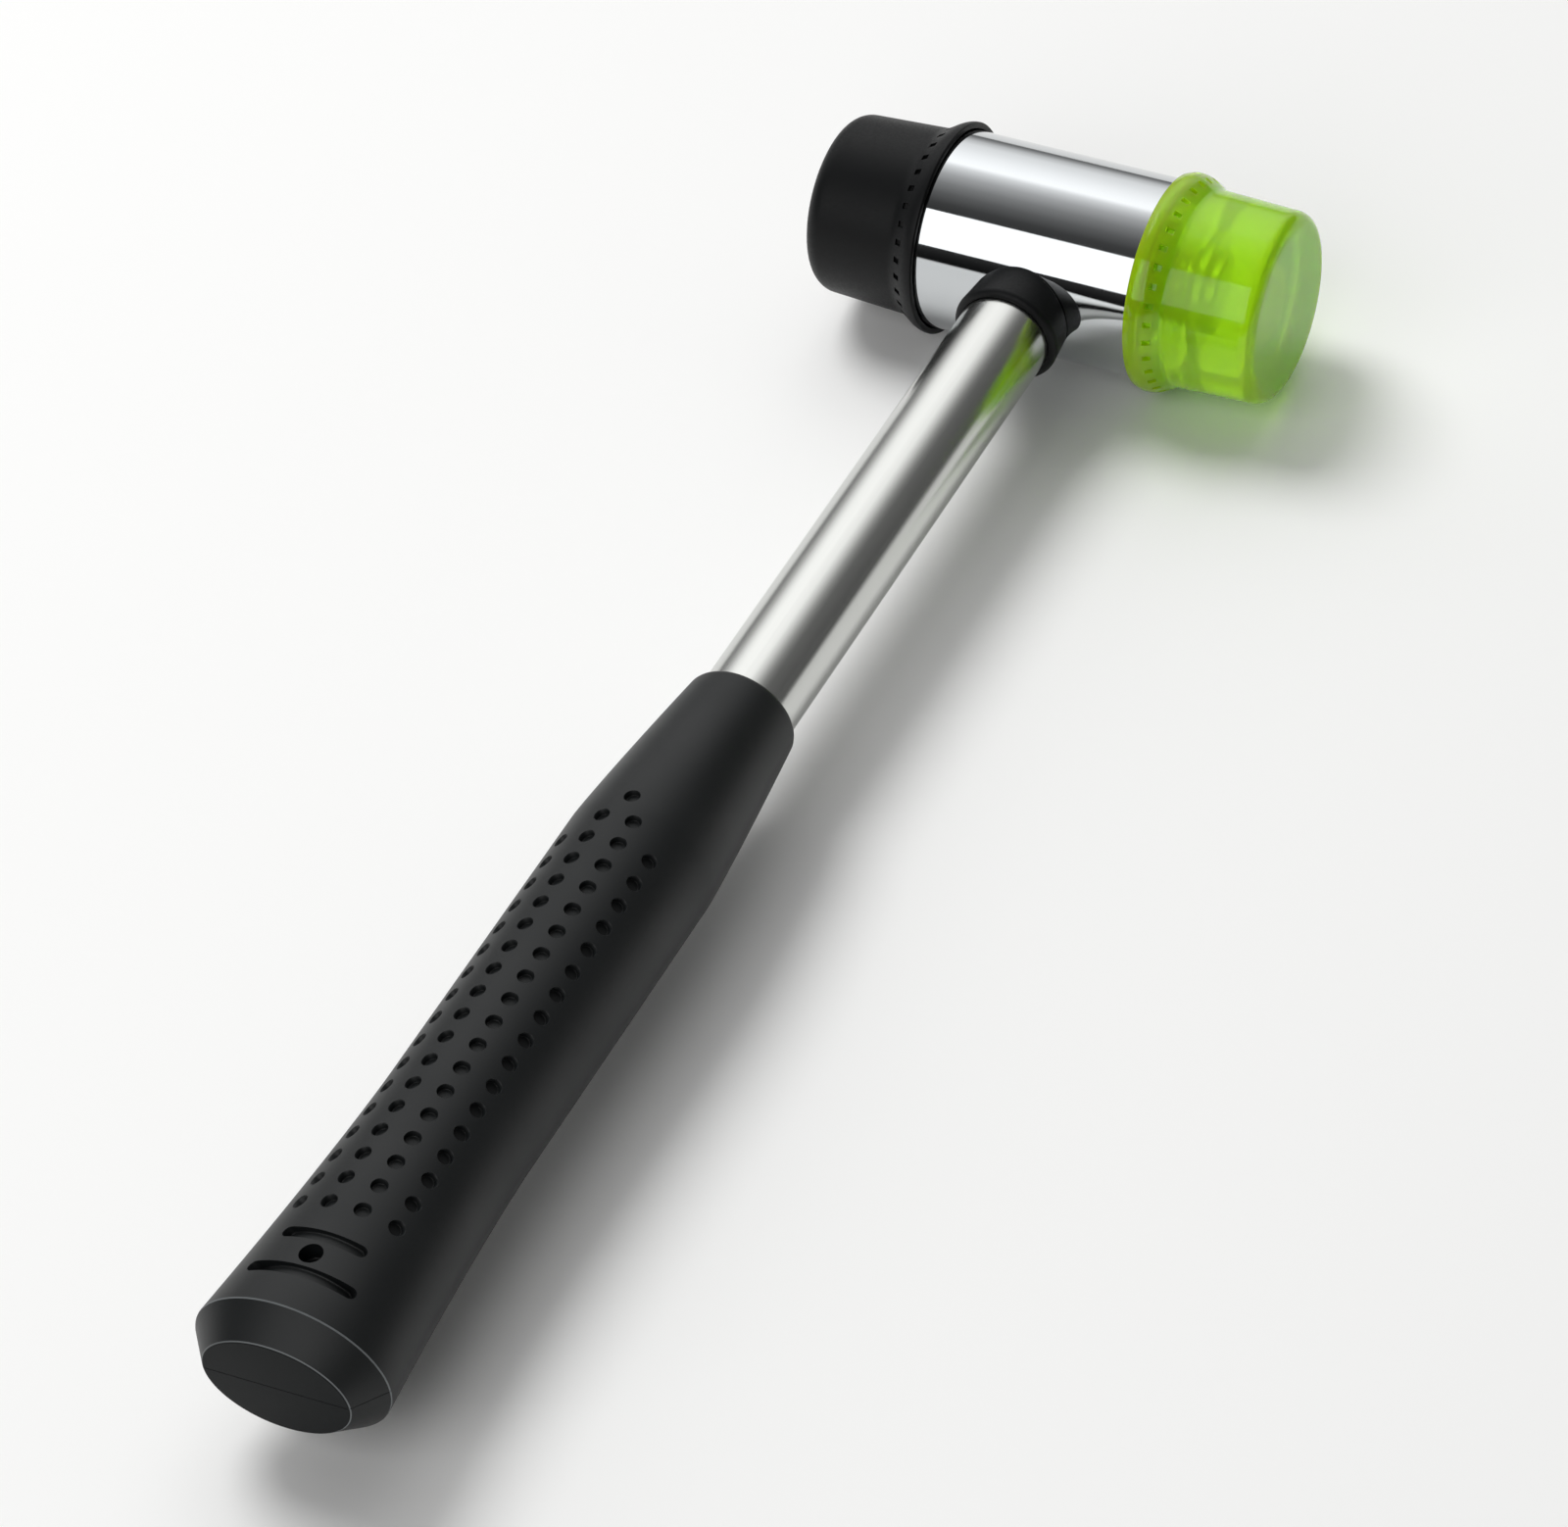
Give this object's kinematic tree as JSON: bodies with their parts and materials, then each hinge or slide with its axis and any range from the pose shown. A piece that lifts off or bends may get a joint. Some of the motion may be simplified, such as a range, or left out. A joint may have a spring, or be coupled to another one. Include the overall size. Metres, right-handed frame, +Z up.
{
  "type": "soft face hammer",
  "caption": "Soft face hammer with a chromed barrel head, a screw-in rubber tip, a screw-in clear green plastic tip, a chromed tube handle and a dimpled rubber grip.",
  "frame": {"origin": "on the bench under the middle of the whole hammer, which lies on its side", "axes": "+X along the barrel towards the plastic tip, +Y along the handle towards the barrel, +Z up"},
  "size_m": [0.0728, 0.2524, 0.033],
  "materials": {
    "bright_chrome": "polished chrome plate on steel",
    "satin_chrome": "satin chrome plate on drawn steel tube",
    "spring_steel": "rolled spring steel",
    "black_rubber": "moulded, satin",
    "grip_rubber": "moulded, fine matt grain",
    "plug_plastic": "moulded polyethylene",
    "green_plastic": "clear tinted plastic, moulded glossy",
    "stud_steel": "zinc plated steel",
    "tip_rubber": "moulded, satin"
  },
  "bodies": {
    "head_and_handle": {"head_barrel": "bright_chrome", "handle_tube": "satin_chrome", "handle_pin": "spring_steel", "neck_collar": "black_rubber", "grip_sleeve": "grip_rubber", "tube_end_plug": "plug_plastic"},
    "plastic_stud": {"plastic_tip_stud": "stud_steel"},
    "plastic_tip": {"plastic_tip": "green_plastic"},
    "rubber_stud": {"rubber_tip_stud": "stud_steel"},
    "rubber_tip": {"rubber_tip": "tip_rubber"}
  },
  "joints": [
    {"name": "plastic_stud_travel", "type": "slide", "parent": "head_and_handle", "child": "plastic_stud", "axis": [1, 0, 0], "range_m": [0, 0.01]},
    {"name": "plastic_tip_turn", "type": "hinge", "parent": "plastic_stud", "child": "plastic_tip", "pos_m": [0.019, 0.10975, 0.0165], "axis": [1, 0, 0], "range_deg": [0, 2880]},
    {"name": "rubber_stud_travel", "type": "slide", "parent": "head_and_handle", "child": "rubber_stud", "axis": [-1, 0, 0], "range_m": [0, 0.01]},
    {"name": "rubber_tip_turn", "type": "hinge", "parent": "rubber_stud", "child": "rubber_tip", "pos_m": [-0.019, 0.10975, 0.0165], "axis": [-1, 0, 0], "range_deg": [0, 2880]}
  ],
  "couplings": [
    {"joint": "plastic_stud_travel", "follows": "plastic_tip_turn", "m_per_rad": 0.00019894},
    {"joint": "rubber_stud_travel", "follows": "rubber_tip_turn", "m_per_rad": 0.00019894}
  ]
}
